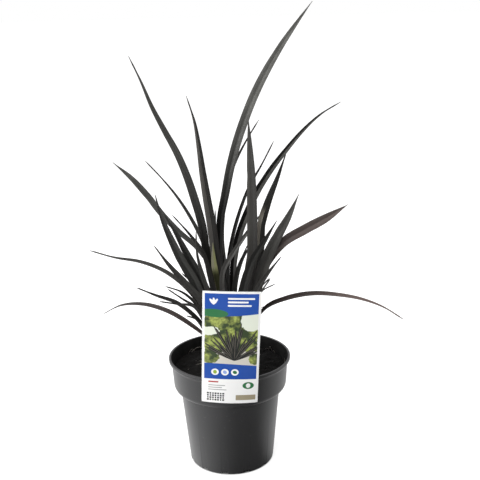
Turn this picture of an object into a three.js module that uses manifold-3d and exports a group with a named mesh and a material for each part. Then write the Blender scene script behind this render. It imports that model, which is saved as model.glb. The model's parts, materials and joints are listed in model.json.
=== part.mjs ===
// Dark-leaved New Zealand flax, a young clump in a nursery pot with a card label hung on its rim.
// Millimetres, +Z up. The origin is the middle of the pot's underside, and the label faces -Y.
import * as THREE from 'three';
import { mergeVertices } from 'three/addons/utils/BufferGeometryUtils.js';
import Module from 'manifold-3d';

const wasm = await Module();
wasm.setup();

const touchGap = 0.3; // space left between two pieces that touch

// Pot: a thin thermoformed wall with a wide collar at the top
const potSegments = 40;
const potWall = 1.5;
const potFloor = 1.8;
const footRadius = 58.2;
const bodyBottom = { r: 59.9, z: 2.4 };
const bodyTop = { r: 70.2, z: 109.5 };
const shoulder = { r: 77.6, z: 109.5, steps: 5 }; // the corner that its curve is pulled to
const collarBottom = { r: 79.6, z: 117 };
const collarTop = { r: 81.8, z: 148 };
const lip = { outer: 85.5, inner: 82.6, bottom: 152, top: 155.2, chamfer: 0.6 };
const sideSlot = { count: 12, width: 10, depth: 12, height: 8, centreRadius: 60, centreZ: 0, first: -10 };
const floorHole = { count: 4, radius: 5, ringRadius: 32, sides: 16, cutLength: 6 };

// Potting mix: a little lower at the wall and again round the crown, as it settles
const mix = {
  top: 139,
  wallDrop: 1,
  ridge: { inset: 9, drop: 0.2 },
  dip: { r: 54, drop: 1.2 },
  footInset: 3,
};

// The short woody crown that is half sunk in the mix
const crown = { radius: 34, waist: 30, waistRise: 4, foot: 18, bottom: 127, top: 144, chamfer: 3, sunk: 3 };
const leafFoot = crown.top + touchGap;

// Card label: its foot lies on the collar, and a tongue behind it hooks over the rim
const card = { width: 74.5, height: 168, thickness: 0.5, columns: 10, rows: 8 };
const cardFoot = new THREE.Vector3(-0.4, -80.7, 120);
const cardTop = new THREE.Vector3(7.3, -107, 285.7);
const cardBow = { foot: 144, top: 400 }; // radius of its curve round the pot
const cardBelly = 0.6;
const tongue = {
  width: 24,
  thickness: 0.5,
  rows: 8,
  fork: 0.34, // share of the card's height where it leaves the card's back
  start: [1.4, -7], // its first step from there, as [y, z]
  overRim: [-80.4, 158],
  end: [-75.5, 141.5],
};

// Leaf blades: folded along the midrib, widest below the middle, drawn out to a point
const blade = {
  midribThickness: 1.1,
  marginThickness: 0.5,
  footWidth: 0.6, // share of the full width, at the foot
  widest: 0.42, // share of the length
  taper: 1.6, // power of the narrowing towards the tip
  neck: 12, // every leaf leaves the crown straight up for this height
  turning: [0.03, 0.35], // shares of the length between which it turns from its fan's plane to its own
  spreading: 1.6, // power by which it comes out of its fan's plane
  tipMidrib: 0.5, // share of the midrib's thickness that is left at the tip
  stationLength: 34,
  fewestStations: 6,
};
// Half the angle between the two halves of the blade, from the foot to the tip
const foldAngles = [42, 60, 68, 72, 75, 78];
// Which sides of its six-cornered section run from a margin to the midrib
const endsAtMidrib = [false, false, true, false, false, true];

const finishes = {
  pot: { color: 0x2f2f31, roughness: 0.45 },
  mix: { color: 0x17130f, roughness: 1 },
  crown: { color: 0x4a3d2a, roughness: 0.9 },
  card: { color: 0xf2f2ee, roughness: 0.35 },
  dark: { color: 0x34332f, roughness: 0.5 },
  bronze: { color: 0x5c4540, roughness: 0.5 },
  pale: { color: 0x8a8a4c, roughness: 0.5 },
};

const eye = { x: 19, y: -1103, z: 627 }; // where the plant is seen from
const up = new THREE.Vector3(0, 0, 1);
const toRadians = THREE.MathUtils.degToRad;

// A place seen at x, z on the upright plane through the pot's axis, moved along its sight line to y = depth
function fromBoard(x, z, depth) {
  const reach = (depth - eye.y) / -eye.y;
  return new THREE.Vector3(eye.x + reach * (x - eye.x), depth, eye.z + reach * (z - eye.z));
}

// The clump's fans, front to back. A fan's leaves stand in a row at the crown, and each list runs from its
// innermost leaf outwards. A leaf's points lie along its midrib as [x, z] on the upright plane through the
// pot's axis, from above the hidden foot to the tip, and depth is the tip's y. width is the blade's full
// width, which it has at the share widest of its length, and a higher taper keeps the end broader. face is
// how far the upper side turns from the fan's plane towards the viewer, in degrees, and a leaf without it
// keeps to its own heading. twist adds to that turn at the tip.
const fans = [
  {
    name: 'left_shoot',
    x: -4,
    row: -3,
    left: [
      {
        depth: -72, width: 10, taper: 2.2, face: 75,
        points: [[-41, 245], [-56, 261], [-79, 289], [-99, 318]],
      },
      {
        depth: -54, width: 5, taper: 2.4, face: 60,
        points: [[-42, 224], [-56, 235], [-70, 245], [-83, 255]],
      },
      {
        depth: -96, width: 4.6, taper: 2.4, face: 30,
        points: [[-49, 229], [-66, 232], [-87, 235], [-95, 237]],
      },
      {
        depth: -84, width: 3.5, taper: 2.4, face: 60,
        points: [[-41, 204], [-48, 211], [-58, 215]],
      },
    ],
    right: [
      {
        depth: -10, width: 8, taper: 3, face: 60,
        points: [[-6, 235], [-8, 260], [-5, 279], [1, 292], [9, 304.5], [25, 327], [45, 356], [55, 369]],
      },
    ],
  },
  {
    name: 'right_shoot',
    x: 4,
    row: -3,
    left: [],
    right: [
      {
        depth: -66, width: 13, taper: 2.4, face: 65, twist: 20,
        points: [[18, 235], [27, 272], [37, 298], [46, 313], [54.5, 325], [62, 337.5], [69, 349]],
      },
      {
        depth: -54, width: 10, taper: 2, face: 50, twist: 30,
        points: [[29, 222], [47, 263], [57, 276], [66, 287], [74.5, 298]],
      },
      {
        depth: -50, width: 6, taper: 2.2, face: 40, twist: 30,
        points: [[34, 214], [44.5, 244.5], [53, 256], [59.5, 267]],
      },
      {
        depth: -46, width: 4, taper: 2.4, face: 30,
        points: [[42, 230], [50, 254], [57, 257.5], [65.5, 258.7]],
      },
    ],
  },
  {
    name: 'front_fan',
    x: 0,
    row: -2,
    left: [
      {
        depth: -15, width: 8.5, widest: 0.8, taper: 2.2, face: 70, tone: 'pale',
        points: [[-8, 230], [-14, 264], [-17.5, 284], [-18.2, 299], [-18.6, 320]],
      },
      {
        depth: -52, width: 8, face: 70,
        points: [[-30, 260], [-38, 287], [-41, 310], [-41, 336]],
      },
      {
        depth: -66, width: 14, taper: 2, face: 80,
        points: [[-44, 261], [-57, 285], [-73, 321], [-85, 352], [-94, 389]],
      },
    ],
    right: [
      {
        depth: -66, width: 15, taper: 3.2, face: 80,
        points: [[31, 275], [35, 300], [36, 350], [36, 400], [34.5, 450], [33, 489]],
      },
      {
        depth: -32, width: 17, taper: 3, face: 85,
        points: [[56, 300], [66, 321], [83, 351], [99, 385]],
      },
    ],
  },
  {
    name: 'near_fan',
    x: 0,
    row: -1,
    left: [
      {
        depth: -10, width: 13.5, widest: 0.5, face: 89,
        points: [[-20, 350], [-27, 400], [-32.5, 450], [-38.5, 490], [-47, 519]],
      },
      {
        depth: -40, width: 8, taper: 2, face: 70,
        points: [[-34, 310], [-50, 333], [-64.5, 351], [-72, 360]],
      },
      {
        depth: -30, width: 16, face: 80,
        points: [[-33, 258], [-46.5, 286], [-60, 318], [-75, 347], [-84, 363]],
      },
      {
        depth: -64, width: 7, taper: 2, face: 40,
        points: [[-37, 225], [-62, 261], [-93, 285], [-132, 299], [-169, 305], [-187, 313]],
      },
      {
        depth: -58, width: 7, taper: 2.2, face: 40,
        points: [[-37, 201], [-57, 223], [-81, 240], [-105, 248], [-126, 258]],
      },
    ],
    right: [
      {
        depth: -8, width: 9, taper: 3, face: 60,
        points: [[10, 250], [13, 272], [17.5, 287], [23, 299], [30, 311], [36, 321]],
      },
      {
        depth: -34, width: 15.5, taper: 2, face: 85,
        points: [[43, 300], [47, 340], [59, 380], [76, 422], [83, 443]],
      },
      {
        depth: -22, width: 7, taper: 2.2, face: 50,
        points: [[34, 225], [41, 247], [48, 256], [53, 260.5], [58, 267.5]],
      },
    ],
  },
  {
    name: 'middle_fan',
    x: 0,
    row: 0,
    left: [
      {
        depth: -4, width: 7, face: 60,
        points: [[-10, 230], [-14, 262], [-17, 280]],
      },
      {
        depth: -32, width: 12.5, taper: 1.9, face: 70,
        points: [[-27, 300], [-34, 350], [-57, 431], [-90, 500], [-109, 549], [-119, 571]],
      },
      {
        depth: -14, width: 5.5, taper: 2.4, face: 60,
        points: [[-51, 241], [-65, 251], [-75, 256], [-86, 259]],
      },
      {
        depth: 52, width: 9, taper: 2.2, face: 37, tone: 'bronze',
        points: [[-40, 188], [-64, 209], [-103, 230], [-144, 233.5], [-174, 221]],
      },
    ],
    right: [
      {
        depth: 24, width: 12.8, widest: 0.62, taper: 2.6, face: 65, twist: 25,
        points: [[-9, 300], [-7, 350], [-1, 380], [14, 445], [42.5, 520], [77, 580], [117, 634]],
      },
      {
        depth: 12, width: 8, face: 59,
        points: [[7, 230], [12, 262], [16, 282]],
      },
      {
        depth: -50, width: 13.5, widest: 0.8, taper: 2.2, face: 30, twist: 50, tone: 'bronze',
        points: [[43, 262], [71, 312], [100, 332], [130, 348], [165, 369]],
      },
      {
        depth: -62, width: 9, face: 20, tone: 'bronze',
        points: [[52, 223], [76, 235], [114, 243], [168, 238], [209, 225], [245, 202]],
      },
    ],
  },
  {
    name: 'far_fan',
    x: 0,
    row: 1,
    left: [
      {
        depth: 16, width: 9, face: 90,
        points: [[-6, 270], [-11, 300], [-14, 335], [-14, 366]],
      },
      {
        depth: 66, width: 7, face: 75,
        points: [[-25, 300], [-48, 357], [-72, 396], [-91, 419], [-105, 435]],
      },
      {
        depth: 34, width: 5, face: 55,
        points: [[-45, 256], [-57, 272], [-63, 278]],
      },
    ],
    right: [
      {
        depth: 48, width: 7, taper: 2.2, face: 85,
        points: [[-2, 275], [-6, 320], [0, 385], [9, 418], [21, 441], [30, 459], [47, 486]],
      },
    ],
  },
  {
    name: 'back_fan',
    x: 0,
    row: 2,
    left: [
      {
        depth: 60, width: 9.5, widest: 0.75, taper: 2.6, face: 0, twist: 85,
        points: [[-26, 290], [-52, 325], [-70, 341.5], [-86, 361], [-107, 391], [-132, 420], [-148, 434]],
      },
    ],
    right: [
      {
        depth: 40, width: 6, taper: 2.4, face: 70,
        points: [[1, 270], [4, 305], [14, 346], [30, 391], [53, 432], [66, 457]],
      },
      {
        depth: 100, width: 11, taper: 1.9, face: 88,
        points: [[11, 304], [27, 356], [49, 400], [84, 447], [121, 486], [154, 506.5]],
      },
      {
        depth: 56, width: 9, face: 81,
        points: [[22, 250], [40, 286], [55, 300]],
      },
    ],
  },
  {
    name: 'rear_fan',
    x: 0,
    row: 3,
    left: [
      {
        depth: 74, width: 7, face: 90,
        points: [[-16, 300], [-21, 350], [-27, 400], [-32, 438]],
      },
      {
        depth: 124, width: 8, face: 87,
        points: [[-24, 300], [-34, 350], [-57, 431], [-84, 486]],
      },
      {
        depth: 156, width: 8,
        points: [[-20, 215], [-24, 240], [-28, 248]],
      },
      {
        depth: 92, width: 8,
        points: [[-35, 210], [-50, 230], [-58, 232]],
      },
    ],
    right: [
      {
        depth: 84, width: 8, face: 87,
        points: [[-8, 300], [-4, 375], [14, 450], [38, 510], [58, 548]],
      },
      {
        depth: 60, width: 6, taper: 2, face: 60,
        points: [[8, 250], [13, 276], [20, 296], [30, 318]],
      },
      {
        depth: 124, width: 7, face: 100,
        points: [[26, 275], [34, 330], [36, 390], [35, 436]],
      },
      {
        depth: 135, width: 8,
        points: [[22, 225], [34, 262], [40, 270]],
      },
      {
        depth: 106, width: 7,
        points: [[32, 210], [46, 226], [52, 226]],
      },
    ],
  },
];
const fanPitch = 8.6; // from one row of leaves to the next, front to back
const leafPitch = 3; // from one leaf to the next in a fan, at the crown
const heartGap = 7.5; // between a fan's innermost two leaves

function mesh(name, geometry, finish) {
  const piece = new THREE.Mesh(geometry, new THREE.MeshStandardMaterial({ ...finish, metalness: 0 }));
  piece.name = name;
  return piece;
}

function toSolid(geometry) {
  const bare = geometry.clone();
  bare.deleteAttribute('normal');
  bare.deleteAttribute('uv');
  const merged = mergeVertices(bare);
  const triVerts = new Uint32Array(merged.index.array);
  const vertProperties = new Float32Array(merged.attributes.position.array);
  return new wasm.Manifold(new wasm.Mesh({ numProp: 3, vertProperties, triVerts }));
}

function toGeometry(solid) {
  const data = solid.getMesh();
  const geometry = new THREE.BufferGeometry();
  geometry.setAttribute('position', new THREE.BufferAttribute(data.vertProperties, 3));
  geometry.setIndex(new THREE.BufferAttribute(data.triVerts, 1));
  return geometry;
}

// A profile of [radius, height] turned about +Z
function turned(profile) {
  const points = profile.map(([r, z]) => new THREE.Vector2(r, z));
  const geometry = new THREE.LatheGeometry(points, potSegments);
  geometry.rotateX(Math.PI / 2);
  return geometry;
}

// The pot's side from the foot to under the lip, moved inwards by inset, and upwards where it is a shelf
function potSide(inset) {
  const curve = new THREE.QuadraticBezierCurve(
    new THREE.Vector2(bodyTop.r - inset, bodyTop.z + inset),
    new THREE.Vector2(shoulder.r - inset, shoulder.z + inset),
    new THREE.Vector2(collarBottom.r - inset, collarBottom.z),
  );
  const bend = curve.getPoints(shoulder.steps).map(({ x, y }) => [x, y]);
  return [[bodyBottom.r - inset, bodyBottom.z], ...bend, [collarTop.r - inset, collarTop.z]];
}

function buildPot() {
  const outside = [[0, 0], [footRadius, 0], ...potSide(0), [lip.outer, lip.bottom]];
  const edge = [[lip.outer, lip.top - lip.chamfer], [lip.outer - lip.chamfer, lip.top]];
  const inside = potSide(potWall).reverse();
  const floor = [[footRadius - potWall, potFloor], [0, potFloor]];
  let solid = toSolid(turned([...outside, ...edge, [lip.inner, lip.top], ...inside, ...floor]));
  for (let i = 0; i < sideSlot.count; i += 1) {
    const slot = new THREE.BoxGeometry(sideSlot.width, sideSlot.depth, sideSlot.height);
    slot.translate(0, -sideSlot.centreRadius, sideSlot.centreZ);
    slot.rotateZ(toRadians(sideSlot.first) + (i * 2 * Math.PI) / sideSlot.count);
    solid = solid.subtract(toSolid(slot));
  }
  for (let i = 0; i < floorHole.count; i += 1) {
    const { radius, cutLength, sides } = floorHole;
    const hole = new THREE.CylinderGeometry(radius, radius, cutLength, sides);
    hole.rotateX(Math.PI / 2);
    hole.translate(floorHole.ringRadius, 0, 0);
    hole.rotateZ((i * 2 * Math.PI) / floorHole.count);
    solid = solid.subtract(toSolid(hole));
  }
  return mesh('pot', toGeometry(solid), finishes.pot);
}

// A short column with a flat top and a rounded underside
function crownProfile(grow) {
  const { radius, waist, waistRise, foot, bottom, top, chamfer, sunk } = crown;
  return [
    [0, bottom - grow],
    [foot + grow, bottom - grow],
    [waist + grow, bottom + waistRise],
    [radius + grow, mix.top - sunk],
    [radius + grow, top - chamfer],
  ];
}

function buildCrown() {
  const profile = [...crownProfile(0), [crown.radius - crown.chamfer, crown.top], [0, crown.top]];
  return mesh('crown', turned(profile), finishes.crown);
}

function buildPottingMix() {
  const side = potSide(potWall + touchGap).filter(([, z]) => z < mix.top);
  const collarSlope = (collarTop.r - collarBottom.r) / (collarTop.z - collarBottom.z);
  const edgeZ = mix.top - mix.wallDrop;
  const edge = collarBottom.r + collarSlope * (edgeZ - collarBottom.z) - potWall - touchGap;
  const ridge = [edge - mix.ridge.inset, mix.top - mix.ridge.drop];
  const surface = [[edge, edgeZ], ridge, [mix.dip.r, mix.top - mix.dip.drop]];
  const socket = [...crownProfile(touchGap).slice(0, -1), [crown.radius + touchGap, mix.top]];
  const base = [[0, potFloor + touchGap], [footRadius - potWall - mix.footInset, potFloor + touchGap]];
  return mesh('potting_mix', turned([...base, ...side, ...surface, ...socket.reverse()]), finishes.mix);
}

// A box whose points are moved onto a path: place(x, z, y) gives each point from its place in the flat sheet
function bentSheet(width, height, thickness, columns, rows, place) {
  const geometry = new THREE.BoxGeometry(width, thickness, height, columns, 1, rows);
  const position = geometry.attributes.position;
  for (let i = 0; i < position.count; i += 1) {
    const share = THREE.MathUtils.clamp(position.getZ(i) / height + 0.5, 0, 1);
    const point = place(position.getX(i), share, position.getY(i));
    position.setXYZ(i, point.x, point.y, point.z);
  }
  return geometry;
}

// The card bows round the pot at its foot and is nearly flat at its top
function cardPoint(x, share, offset) {
  const middle = new THREE.Vector3().lerpVectors(cardFoot, cardTop, share);
  const radius = THREE.MathUtils.lerp(cardBow.foot, cardBow.top, share);
  const back = radius - Math.sqrt(radius ** 2 - x ** 2) - cardBelly * Math.sin(Math.PI * share);
  const lean = (cardTop.x - cardFoot.x) / (cardTop.z - cardFoot.z);
  return new THREE.Vector3(middle.x + x, middle.y + back + offset, middle.z - x * lean);
}

function tonguePath() {
  const fork = cardPoint(0, tongue.fork, 0);
  return new THREE.CatmullRomCurve3([
    fork,
    fork.clone().add(new THREE.Vector3(0, ...tongue.start)),
    new THREE.Vector3(fork.x, ...tongue.overRim),
    new THREE.Vector3(fork.x, ...tongue.end),
  ]);
}

function buildLabel() {
  const sheet = bentSheet(card.width, card.height, card.thickness, card.columns, card.rows, cardPoint);
  const path = tonguePath();
  const onPath = (x, share, offset) => path.getPoint(1 - share).add(new THREE.Vector3(x, offset, 0));
  const hook = bentSheet(tongue.width, path.getLength(), tongue.thickness, 1, tongue.rows, onPath);
  return mesh('plant_label', toGeometry(toSolid(sheet).add(toSolid(hook))), finishes.card);
}

// Where the leaf's midrib runs, from the crown to the tip
function leafSpine(leaf, foot) {
  const seen = leaf.points;
  const neckTop = foot.clone().addScaledVector(up, blade.neck);
  const lengths = [0];
  let last = [neckTop.x, neckTop.z];
  for (const point of seen) {
    lengths.push(lengths[lengths.length - 1] + Math.hypot(point[0] - last[0], point[1] - last[1]));
    last = point;
  }
  const total = lengths[lengths.length - 1];
  const path = seen.map(([x, z], i) => {
    const depth = foot.y + (leaf.depth - foot.y) * (lengths[i + 1] / total) ** blade.spreading;
    return fromBoard(x, z, depth);
  });
  return new THREE.CatmullRomCurve3([foot, neckTop, ...path], false, 'centripetal');
}

// Share of the full width at share u of the length
function widthShare(u, widest, taper) {
  if (u < widest) return THREE.MathUtils.lerp(blade.footWidth, 1, THREE.MathUtils.smoothstep(u, 0, widest));
  return 1 - ((u - widest) / (1 - widest)) ** taper;
}

function foldAngle(u) {
  const place = u * (foldAngles.length - 1);
  const i = Math.min(Math.floor(place), foldAngles.length - 2);
  return toRadians(THREE.MathUtils.lerp(foldAngles[i], foldAngles[i + 1], place - i));
}

// The six corners of the folded blade at share u: midrib, right margin twice, midrib, left margin twice
function leafSection(leaf, spine, headings, u) {
  const centre = spine.getPointAt(u);
  const tangent = spine.getTangentAt(u);
  const turn = THREE.MathUtils.smoothstep(u, ...blade.turning);
  const heading = THREE.MathUtils.lerp(headings.fan, headings.own, turn);
  const across = new THREE.Vector3(Math.cos(heading), Math.sin(heading), 0).cross(up);
  across.addScaledVector(tangent, -across.dot(tangent)).normalize();
  const faced = leaf.face === undefined ? headings.own : headings.fan + headings.lean * toRadians(leaf.face);
  const roll = (faced - headings.own) * turn + toRadians(leaf.twist ?? 0) * u * headings.lean;
  across.applyAxisAngle(tangent, roll);
  const upper = new THREE.Vector3().crossVectors(across, tangent);
  const fold = foldAngle(u);
  const half = (leaf.width / 2) * widthShare(u, leaf.widest ?? blade.widest, leaf.taper ?? blade.taper);
  const thinning = THREE.MathUtils.lerp(1, blade.tipMidrib, u);
  const midrib = (blade.midribThickness * thinning) / 2 / Math.sin(fold);
  const margin = blade.marginThickness / 2 / Math.sin(fold);
  const out = half * Math.sin(fold);
  const rise = half * Math.cos(fold);
  const corners = [
    [0, midrib],
    [out, rise + margin],
    [out, rise - margin],
    [0, -midrib],
    [-out, rise - margin],
    [-out, rise + margin],
  ];
  return corners.map(([a, b]) => centre.clone().addScaledVector(across, a).addScaledVector(upper, b));
}

// A closed skin over the blade's sections, ending in one point. The two faces of a half are split along the
// same diagonal, from the margin up to the midrib, so that they stay apart where the blade twists.
function skin(rings, tip) {
  const size = rings[0].length;
  const vertices = [...rings.flat(), tip];
  const index = [];
  for (let i = 1; i < size - 1; i += 1) index.push(0, i + 1, i);
  for (let ring = 0; ring < rings.length - 1; ring += 1) {
    for (let i = 0; i < size; i += 1) {
      const a = ring * size + i;
      const b = ring * size + ((i + 1) % size);
      if (endsAtMidrib[i]) index.push(a, b, b + size, a, b + size, a + size);
      else index.push(a, b, a + size, b, b + size, a + size);
    }
  }
  const last = (rings.length - 1) * size;
  for (let i = 0; i < size; i += 1) index.push(last + i, last + ((i + 1) % size), vertices.length - 1);
  const geometry = new THREE.BufferGeometry().setFromPoints(vertices);
  geometry.setIndex(index);
  return geometry;
}

function buildLeaf(name, leaf, foot, lean) {
  const spine = leafSpine(leaf, foot);
  const tip = spine.getPointAt(1);
  const own = Math.atan2(tip.y - foot.y, tip.x - foot.x);
  const fan = lean < 0 ? Math.PI * Math.sign(own || 1) : 0;
  const headings = { lean, own, fan };
  const stations = Math.max(blade.fewestStations, Math.round(spine.getLength() / blade.stationLength));
  const rings = [];
  for (let i = 0; i < stations; i += 1) rings.push(leafSection(leaf, spine, headings, i / stations));
  return mesh(name, skin(rings, tip), finishes[leaf.tone ?? 'dark']);
}

function buildFan(fan) {
  const group = new THREE.Group();
  for (const [side, leaves, lean] of [['left', fan.left, -1], ['right', fan.right, 1]]) {
    leaves.forEach((leaf, i) => {
      const footX = fan.x + lean * (heartGap / 2 + i * leafPitch);
      const foot = new THREE.Vector3(footX, fan.row * fanPitch, leafFoot);
      group.add(buildLeaf(`${fan.name}_${side}_leaf_${i + 1}`, leaf, foot, lean));
    });
  }
  return group;
}

const plant = new THREE.Group();
plant.add(buildPot(), buildPottingMix(), buildCrown(), buildLabel());
for (const fan of fans) plant.add(buildFan(fan));

export default plant;
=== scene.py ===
# Dark-leaved New Zealand flax in a nursery pot: the finished surfaces, built round the fixed frame
import json
import math
import random

import bmesh
import bpy
from mathutils import Matrix, Vector, noise


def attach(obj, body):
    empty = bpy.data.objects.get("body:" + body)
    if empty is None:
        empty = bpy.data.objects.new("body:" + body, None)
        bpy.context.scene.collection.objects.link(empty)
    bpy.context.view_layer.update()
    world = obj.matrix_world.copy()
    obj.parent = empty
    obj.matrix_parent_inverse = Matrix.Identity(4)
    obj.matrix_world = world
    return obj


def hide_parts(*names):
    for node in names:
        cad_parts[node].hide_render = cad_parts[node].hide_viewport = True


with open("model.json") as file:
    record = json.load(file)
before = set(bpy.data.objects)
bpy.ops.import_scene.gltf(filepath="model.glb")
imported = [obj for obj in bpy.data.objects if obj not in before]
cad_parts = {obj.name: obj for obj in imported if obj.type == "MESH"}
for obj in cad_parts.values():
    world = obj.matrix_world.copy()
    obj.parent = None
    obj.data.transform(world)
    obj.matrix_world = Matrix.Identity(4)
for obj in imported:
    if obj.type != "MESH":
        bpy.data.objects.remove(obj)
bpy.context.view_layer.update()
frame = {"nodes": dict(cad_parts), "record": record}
print("frame loaded:", len(frame["nodes"]), "nodes")

mm = 0.001
tiny = 0.01 * mm  # points closer together than this are one point
fullTurn = 2 * math.pi


# Small helpers for pieces

def selectOnly(*pieces):
    bpy.ops.object.select_all(action="DESELECT")
    for piece in pieces:
        piece.select_set(True)
    bpy.context.view_layer.objects.active = pieces[0]


def applyModifiers(piece):
    selectOnly(piece)
    for modifier in list(piece.modifiers):
        bpy.ops.object.modifier_apply(modifier=modifier.name)


def smoothUnder(piece, degrees):
    selectOnly(piece)
    bpy.ops.object.shade_smooth_by_angle(angle=math.radians(degrees))


def joinPieces(pieces, name):
    selectOnly(*pieces)
    bpy.ops.object.join()
    whole = bpy.context.object
    whole.name = name
    whole.data.name = name
    return whole


def meshPiece(name, points, edges, faces):
    data = bpy.data.meshes.new(name)
    data.from_pydata(points, edges, faces)
    piece = bpy.data.objects.new(name, data)
    bpy.context.collection.objects.link(piece)
    return piece


def gridPiece(columns, rows):
    bpy.ops.mesh.primitive_grid_add(x_subdivisions=columns, y_subdivisions=rows, size=1)
    return bpy.context.object


def addMaterials(piece, *materials):
    for material in materials:
        piece.data.materials.append(material)


# Gives the corners of the faces their vertices' places on the UV map
def mapPiece(piece, places):
    layer = piece.data.uv_layers.active.data
    for loop in piece.data.loops:
        layer[loop.index].uv = places[loop.vertex_index]


def addWall(piece, thickness, **settings):
    wall = piece.modifiers.new("wall", "SOLIDIFY")
    wall.thickness = thickness
    wall.offset = 0
    for label, value in settings.items():
        setattr(wall, label, value)
    applyModifiers(piece)


def settle(piece, slotName, *nodes):
    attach(piece, "root")
    if nodes:
        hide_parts(*nodes)


def blendValue(a, b, share):
    return a + (b - a) * share


def ease(low, high, value):
    share = min(max((value - low) / (high - low), 0), 1)
    return share * share * (3 - 2 * share)


def ringPlace(radius, angle, height=0):
    return radius * math.cos(angle), radius * math.sin(angle), height


# Small helpers for materials: an input takes another node's output or a plain value

def setInputs(tree, node, values):
    for label, value in values.items():
        if isinstance(value, bpy.types.NodeSocket):
            tree.links.new(value, node.inputs[label])
        else:
            node.inputs[label].default_value = value


# Adds a shader node of a kind, with its own settings, and gives back its outputs
def addNode(tree, kind, inputs=None, **settings):
    node = tree.nodes.new("ShaderNode" + kind)
    for label, value in settings.items():
        setattr(node, label, value)
    setInputs(tree, node, inputs or {})
    return node.outputs


def mathNode(tree, operation, a, b=0.0, clamp=False):
    return addNode(tree, "Math", {0: a, 1: b}, operation=operation, use_clamp=clamp)[0]


def times(tree, a, b):
    return mathNode(tree, "MULTIPLY", a, b)


def vectorNode(tree, operation, a, b=(0, 0, 0)):
    return addNode(tree, "VectorMath", {0: a, 1: b}, operation=operation)[0]


def vectorLength(tree, vector):
    return addNode(tree, "VectorMath", {0: vector}, operation="LENGTH")["Value"]


def noiseNode(tree, place, scale, detail=2.0):
    return addNode(tree, "TexNoise", {"Vector": place, "Scale": scale, "Detail": detail})


# A colour mix has its share in input 0, its two colours in 6 and 7, and its result in output 2
def mixColour(tree, share, a, b):
    first, second = ((*colour, 1) if isinstance(colour, tuple) else colour for colour in (a, b))
    return addNode(tree, "Mix", {0: share, 6: first, 7: second}, data_type="RGBA")[2]


def steps(tree, value, low, high, bottom=0.0, top=1.0):
    inputs = {"Value": value, "From Min": low, "From Max": high, "To Min": bottom, "To Max": top}
    return addNode(tree, "MapRange", inputs, interpolation_type="SMOOTHSTEP")[0]


def coordinates(tree, kind="Object"):
    return addNode(tree, "TexCoord")[kind]


# Shader groups that several materials share

bladeLines = {
    "veins": 26.0,  # streaks from the midrib to a margin
    "along": 9.0,  # changes in a metre of blade
    "detail": 3.0,
    "broad": (0.16, 0.6, 1.0),  # the broad streaks' frequency against the fine ones'
    "fineShare": 0.6,
    "streak": (0.38, 0.62),
    "rib": (0.03, 0.1),
    "margin": (0.88, 0.98),
}
mottle = {"detail": 5.0, "grains": 14.0}  # so many grains across one patch


# An input with a starting value is a number, and one without is a vector
def newGroup(name, inputs, outputs):
    tree = bpy.data.node_groups.new(name, "ShaderNodeTree")
    for label, value in inputs.items():
        kind = "NodeSocketVector" if value is None else "NodeSocketFloat"
        socket = tree.interface.new_socket(label, in_out="INPUT", socket_type=kind)
        if value is not None:
            socket.default_value = value
    for label in outputs:
        tree.interface.new_socket(label, in_out="OUTPUT", socket_type="NodeSocketFloat")
    return tree, tree.nodes.new("NodeGroupInput").outputs, tree.nodes.new("NodeGroupOutput")


# The map's U runs from margin to margin as -1 to 1, and V along the blade in metres
def bladeGroup():
    inputs = {"Map": None, "Veins": bladeLines["veins"], "Along": bladeLines["along"]}
    tree, given, made = newGroup("bladePattern", inputs, ("Streak", "Rib", "Margin", "Height"))
    parts = addNode(tree, "SeparateXYZ", {0: given["Map"]})
    across = times(tree, parts[0], given["Veins"])
    along = times(tree, parts[1], given["Along"])
    place = addNode(tree, "CombineXYZ", {0: across, 1: along, 2: parts[2]})[0]
    fine = noiseNode(tree, place, 1.0, bladeLines["detail"])[0]
    broad = noiseNode(tree, vectorNode(tree, "MULTIPLY", place, bladeLines["broad"]), 1.0)[0]
    finePart = times(tree, fine, bladeLines["fineShare"])
    broadPart = times(tree, broad, 1 - bladeLines["fineShare"])
    side = mathNode(tree, "ABSOLUTE", parts[0])
    results = {
        "Streak": steps(tree, mathNode(tree, "ADD", finePart, broadPart), *bladeLines["streak"]),
        "Rib": steps(tree, side, *bladeLines["rib"], 1.0, 0.0),
        "Margin": steps(tree, side, *bladeLines["margin"]),
        "Height": fine,
    }
    setInputs(tree, made, results)
    return tree


def mottleGroup():
    inputs = {"Vector": None, "Size": 0.02, "Contrast": 1.0}
    tree, given, made = newGroup("mottle", inputs, ("Mask", "Grain"))
    scale = mathNode(tree, "DIVIDE", 1.0, given["Size"])
    wide = noiseNode(tree, given["Vector"], scale, mottle["detail"])[0]
    spread = times(tree, mathNode(tree, "SUBTRACT", wide, 0.5), given["Contrast"])
    grainScale = times(tree, scale, mottle["grains"])
    results = {
        "Mask": mathNode(tree, "ADD", spread, 0.5, clamp=True),
        "Grain": noiseNode(tree, given["Vector"], grainScale)[0],
    }
    setInputs(tree, made, results)
    return tree


bladePattern = bladeGroup()
mottlePattern = mottleGroup()


def placeGroup(tree, group, **values):
    return addNode(tree, "Group", values, node_tree=group)


def mottled(tree, size, contrast, spot=None):
    place = spot or coordinates(tree)
    return placeGroup(tree, mottlePattern, Vector=place, Size=size, Contrast=contrast)


# What the materials start and end with

def newMaterial(name, roughness):
    material = bpy.data.materials.new(name)
    material.use_nodes = True
    tree = material.node_tree
    shader = tree.nodes["Principled BSDF"]
    shader.inputs["Roughness"].default_value = roughness
    return material, tree, shader


def addBump(tree, shader, height, strength, distance):
    inputs = {"Height": height, "Strength": strength, "Distance": distance}
    setInputs(tree, shader, {"Normal": addNode(tree, "Bump", inputs)[0]})


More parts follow.
